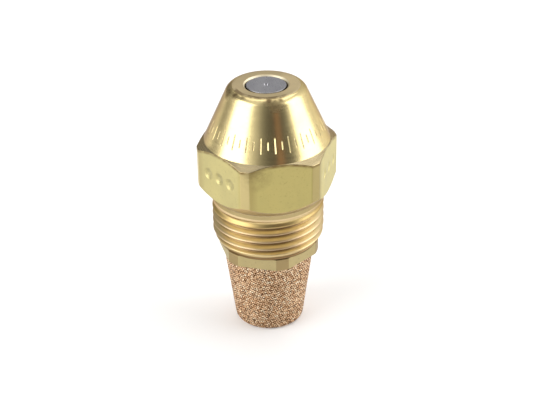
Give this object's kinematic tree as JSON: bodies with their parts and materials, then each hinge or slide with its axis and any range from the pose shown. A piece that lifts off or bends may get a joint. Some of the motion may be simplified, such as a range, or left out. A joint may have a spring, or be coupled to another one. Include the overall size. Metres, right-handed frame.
{
  "type": "oil burner nozzle",
  "caption": "Brass oil burner nozzle with conical nose, wrench hexagon, male thread, steel orifice disc, swirl distributor and sintered bronze filter.",
  "frame": {"origin": "middle of the filter's flat bottom, which the nozzle stands on", "axes": "+Z along the nozzle's axis towards the nose; -Y is the normal of one wrench flat; +X to the right seen from that flat"},
  "size_m": [0.0176, 0.0158, 0.0333],
  "materials": {
    "turned_brass": "turned and polished cone, satin flats, bright thread",
    "disc_steel": "fine ground grey stainless",
    "dull_brass": "dull olive brass, fine turned",
    "sintered_bronze": "rough grains with open pores"
  },
  "bodies": {
    "strainer": {"filter_nut": "dull_brass", "sintered_filter": "sintered_bronze"},
    "housing": {"nozzle_body": "turned_brass", "orifice_disc": "disc_steel"},
    "swirl": {"distributor": "disc_steel"},
    "lock": {"retainer": "dull_brass"}
  },
  "joints": [
    {"name": "filter_unscrew", "type": "slide", "parent": "strainer", "child": "housing", "axis": [0, 0, 1], "range_m": [0, 0.0055]},
    {"name": "distributor_release", "type": "slide", "parent": "housing", "child": "swirl", "axis": [0, 0, -1], "range_m": [0, 0.003]},
    {"name": "retainer_turn", "type": "hinge", "parent": "swirl", "child": "lock", "pos_m": [0, 0, 0.0235], "axis": [0, 0, -1], "range_deg": [0, 1080]}
  ],
  "couplings": [
    {"joint": "retainer_turn", "follows": "distributor_release", "rad_per_m": 6283.2}
  ]
}
